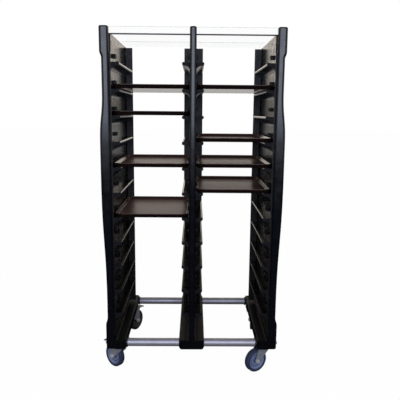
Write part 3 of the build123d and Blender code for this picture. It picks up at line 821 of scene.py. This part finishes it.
@dataclass
class Trays:
    """The serving trays of one bay, each with a rolled rim, with lengths in metres."""

    bay: Bay
    levels: tuple[int, ...]
    corner: float = 0.039
    corner_steps: int = 8
    bead: float = 0.0016
    bead_sides: int = 8

    def rim_tree(self) -> Grower:
        """Lay out a bead that follows a tray's rim.

        Returns:
            The tree, ready to grow.
        """
        grower = Grower("tray_rim", {
            "Width": "NodeSocketFloat",
            "Length": "NodeSocketFloat",
            "Corner": "NodeSocketFloat",
            "Bead": "NodeSocketFloat",
            "Place": "NodeSocketVector",
        })
        tree, given = grower.tree, grower.given
        outline = add_node(tree, "GeometryNodeCurvePrimitiveQuadrilateral", {
            "Width": given["Width"], "Height": given["Length"],
        })
        rounded = add_node(tree, "GeometryNodeFilletCurve", {
            "Curve": outline, "Count": self.corner_steps, "Radius": given["Corner"],
        }, mode="POLY")
        path = add_node(tree, "GeometryNodeTransform", {"Geometry": rounded, "Translation": given["Place"]})
        profile = add_node(tree, "GeometryNodeCurvePrimitiveCircle", {
            "Resolution": self.bead_sides, "Radius": given["Bead"],
        })
        rim = add_node(tree, "GeometryNodeCurveToMesh", {"Curve": path, "Profile Curve": profile})
        grower.close(rim, RIM_LAMINATE.material())
        return grower

    def build(self) -> None:
        """Dress every tray of the bay and roll its rim."""
        grower = self.rim_tree()
        for level in self.levels:
            name = f"tray_{self.bay.value}_{level}"
            dress(name, TRAY_LAMINATE.material())
            low, high = [Vector(corner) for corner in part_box(name)]
            size = high - low
            grower.grow(f"{name}_rim", name, "tray", {
                "Width": size.x - 2 * self.bead,
                "Length": size.y - 2 * self.bead,
                "Corner": self.corner,
                "Bead": self.bead,
                "Place": ((low.x + high.x) / 2, (low.y + high.y) / 2, high.z - self.bead),
            })


@dataclass(frozen=True)
class Lamp:
    """One soft rectangular lamp, with its places and sizes in metres and its power in watts."""

    name: str
    place: Point
    aim: Point
    size: Range
    power: float
    tint: str

    def hang(self) -> None:
        """Add the lamp to the scene, facing its aim."""
        data = bpy.data.lights.new(self.name, "AREA")
        data.shape = "RECTANGLE"
        data.size, data.size_y = self.size
        data.energy = self.power
        data.color = linear(self.tint)[:3]
        item = bpy.data.objects.new(self.name, data)
        item.location = self.place
        facing = Vector(self.aim) - Vector(self.place)
        item.rotation_euler = facing.to_track_quat("-Z", "Y").to_euler()
        bpy.context.scene.collection.objects.link(item)


@dataclass
class Studio:
    """Pale floor, soft light and the camera, with lengths in metres and the camera's angles in radians.

    The background is white to the eye. Mirror-like reflections see a plainer room instead: a dark floor
    close by, a floor that brightens far off, and a band of light above the horizon in front and behind.
    """

    camera_place: Point = (0.01145, -2.72977, 1.35696)
    camera_pitch: float = 0.1727
    camera_yaw: float = 0.0108
    camera_roll: float = 0.0087
    focal_px: float = 499.62
    image_px: float = 400.0
    sensor_mm: float = 36.0
    floor_half: float = 40.0
    floor_white: str = "#ffffff"
    floor_near: str = "#0e0e10"
    floor_far: str = "#c4bfb9"
    floor_ends: Range = (8.0, 22.0)
    floor_glow: float = 0.985
    even_light: float = 0.34
    mirror_warmth: str = "#fff5ea"
    horizon_light: float = 0.45
    band_light: float = 1.7
    band_foot: Range = (0.02, 0.09)
    band_head: Range = (0.15, 0.22)
    band_sides: Range = (0.17, 0.27)
    side_light: float = 0.12
    flank_light: float = 0.6
    flank_ends: Range = (0.45, 0.90)
    lamps: tuple[Lamp, ...] = (
        Lamp("key", (0.0, -3.8, 1.93), (0.0, 0.0, 1.6), (3.4, 1.6), 64.0, "#d3e1ff"),
        Lamp("rear", (0.0, 3.2, 3.0), (0.0, 0.0, 1.5), (3.0, 1.2), 12.0, "#fff3e6"),
    )

    def camera(self) -> None:
        """Make the camera at the photograph's viewing angle."""
        data = bpy.data.cameras.new("camera")
        data.sensor_width = self.sensor_mm
        data.lens = self.focal_px / self.image_px * self.sensor_mm
        item = bpy.data.objects.new("camera", data)
        yaw, pitch, roll = self.camera_yaw, self.camera_pitch, self.camera_roll
        across = Vector((cos(yaw), -sin(yaw), 0))
        ahead = Vector((sin(yaw), cos(yaw), 0))
        forward = ahead * cos(pitch) - Vector((0, 0, sin(pitch)))
        up = ahead * sin(pitch) + Vector((0, 0, cos(pitch)))
        right = across * cos(roll) + up * sin(roll)
        top = up * cos(roll) - across * sin(roll)
        turn = Matrix((right, top, -forward)).transposed().to_4x4()
        item.matrix_world = Matrix.Translation(self.camera_place) @ turn
        bpy.context.scene.collection.objects.link(item)
        bpy.context.scene.camera = item

    def floor(self) -> None:
        """Make the floor, white to the eye apart from the trolley's soft shadow."""
        half = self.floor_half
        mesh = bpy.data.meshes.new("floor")
        corners = [(-half, -half, 0), (half, -half, 0), (half, half, 0), (-half, half, 0)]
        mesh.from_pydata(corners, [], [(0, 1, 2, 3)])
        mesh.materials.append(self.floor_finish())
        item = bpy.data.objects.new("floor", mesh)
        bpy.context.scene.collection.objects.link(item)

    def floor_finish(self) -> Material:
        """Build the floor's finish: matt, with a glow that keeps it white to the eye.

        Returns:
            The material.
        """
        material, tree = new_material("pale_floor_paint")
        rays = add_node(tree, "ShaderNodeLightPath").outputs
        mirror = rays["Is Glossy Ray"]
        seen = add_node(tree, "ShaderNodeMath", {
            0: rays["Is Camera Ray"], 1: rays["Is Transmission Ray"],
        }, operation="MAXIMUM")
        place = add_node(tree, "ShaderNodeTexCoord").outputs["Object"]
        away = add_node(tree, "ShaderNodeVectorMath", {0: place}, operation="LENGTH")
        far = add_node(tree, "ShaderNodeMapRange", {
            "Value": away, "From Min": self.floor_ends[0], "From Max": self.floor_ends[1],
        })
        near_to_far = add_node(tree, "ShaderNodeMix", {
            "Factor": far, MIX_A: linear(self.floor_near), MIX_B: linear(self.floor_far),
        }, data_type="RGBA")
        unseen = add_node(tree, "ShaderNodeMix", {
            "Factor": mirror, MIX_A: linear(self.floor_far), MIX_B: near_to_far,
        }, data_type="RGBA")
        shade = add_node(tree, "ShaderNodeMix", {
            "Factor": seen, MIX_A: unseen, MIX_B: linear(self.floor_white),
        }, data_type="RGBA")
        matt = add_node(tree, "ShaderNodeBsdfDiffuse", {"Color": shade})
        glow = add_node(tree, "ShaderNodeEmission", {"Color": linear(self.floor_white), "Strength": 1.0})
        seen_glow = add_node(tree, "ShaderNodeMath", {0: seen, 1: self.floor_glow}, operation="MULTIPLY")
        far_mirror = add_node(tree, "ShaderNodeMath", {0: mirror, 1: far}, operation="MULTIPLY")
        far_glow = add_node(tree, "ShaderNodeMath", {
            0: far_mirror, 1: self.horizon_light,
        }, operation="MULTIPLY")
        share = add_node(tree, "ShaderNodeMath", {0: seen_glow, 1: far_glow}, operation="MAXIMUM")
        surface = add_node(tree, "ShaderNodeMixShader", {0: share, 1: matt, 2: glow})
        add_node(tree, "ShaderNodeOutputMaterial", {"Surface": surface})
        return material

    def world(self) -> None:
        """Make the surroundings: white to the eye, a soft even light, and the room that reflections see."""
        world = bpy.data.worlds.new("studio")
        bpy.context.scene.world = world
        world.use_nodes = True
        tree = world.node_tree
        tree.nodes.clear()
        rays = add_node(tree, "ShaderNodeLightPath").outputs
        mirror = rays["Is Glossy Ray"]
        seen = add_node(tree, "ShaderNodeMath", {
            0: rays["Is Camera Ray"], 1: rays["Is Transmission Ray"],
        }, operation="MAXIMUM")
        unseen = add_node(tree, "ShaderNodeMix", {
            "Factor": mirror, "A": self.even_light, "B": self.mirrored_room(tree),
        })
        level = add_node(tree, "ShaderNodeMath", {0: seen, 1: unseen}, operation="MAXIMUM")
        tint = add_node(tree, "ShaderNodeMix", {
            "Factor": mirror, MIX_A: linear(self.floor_white), MIX_B: linear(self.mirror_warmth),
        }, data_type="RGBA")
        light = add_node(tree, "ShaderNodeBackground", {"Color": tint, "Strength": level})
        add_node(tree, "ShaderNodeOutputWorld", {"Surface": light})

    def mirrored_room(self, tree: Tree) -> Node:
        """Draw the light that reflections see: a band above the horizon, dim sides and brighter flanks.

        Args:
            tree: The world's tree.

        Returns:
            The node that gives the light's strength.
        """
        way = add_node(tree, "ShaderNodeTexCoord").outputs["Generated"]
        axes = add_node(tree, "ShaderNodeSeparateXYZ", {0: way}).outputs
        sideways = add_node(tree, "ShaderNodeMath", {0: axes["X"]}, operation="ABSOLUTE")
        ahead = add_node(tree, "ShaderNodeMapRange", {
            "Value": sideways, "From Min": self.band_sides[0], "From Max": self.band_sides[1],
            "To Min": 1.0, "To Max": self.side_light,
        })
        foot = add_node(tree, "ShaderNodeMapRange", {
            "Value": axes["Z"], "From Min": self.band_foot[0], "From Max": self.band_foot[1],
            "To Min": self.horizon_light, "To Max": self.band_light,
        })
        head = add_node(tree, "ShaderNodeMapRange", {
            "Value": axes["Z"], "From Min": self.band_head[0], "From Max": self.band_head[1],
            "To Min": self.band_light, "To Max": self.side_light,
        })
        height = add_node(tree, "ShaderNodeMath", {0: foot, 1: head}, operation="MINIMUM")
        band = add_node(tree, "ShaderNodeMath", {0: ahead, 1: height}, operation="MULTIPLY")
        flank = add_node(tree, "ShaderNodeMapRange", {
            "Value": sideways, "From Min": self.flank_ends[0], "From Max": self.flank_ends[1],
            "To Max": self.flank_light,
        })
        return add_node(tree, "ShaderNodeMath", {0: band, 1: flank}, operation="MAXIMUM")

    def build(self) -> None:
        """Set up the whole studio."""
        self.camera()
        self.floor()
        self.world()
        for lamp in self.lamps:
            lamp.hang()
        bpy.context.scene.view_settings.view_transform = "Standard"
        log.info("studio: %d lamps", len(self.lamps))


def main() -> None:
    """Dress the trolley and set up the studio."""
    logging.basicConfig(level=logging.INFO, format="%(name)s: %(message)s")
    Uprights().dress()
    FrameAndCover().dress()
    for caster in (
        Caster("front_left", 138.7, braked=True),
        Caster("front_right", 211.0, braked=False),
        # The rear wheels get painted shade: darker copies of the front wheels' finishes.
        Caster("rear_left", 62.0, braked=True, rim=REAR_RIM_PAINTED_SHADE, tyre=REAR_TYRE_PAINTED_SHADE),
        Caster("rear_right", 80.0, braked=False, rim=REAR_RIM_PAINTED_SHADE, tyre=REAR_TYRE_PAINTED_SHADE),
    ):
        caster.build()
    Trays(Bay.LEFT, (2, 3, 5, 7)).build()
    Trays(Bay.RIGHT, (2, 4, 5, 6)).build()
    Studio().build()


if __name__ == "__main__":
    main()
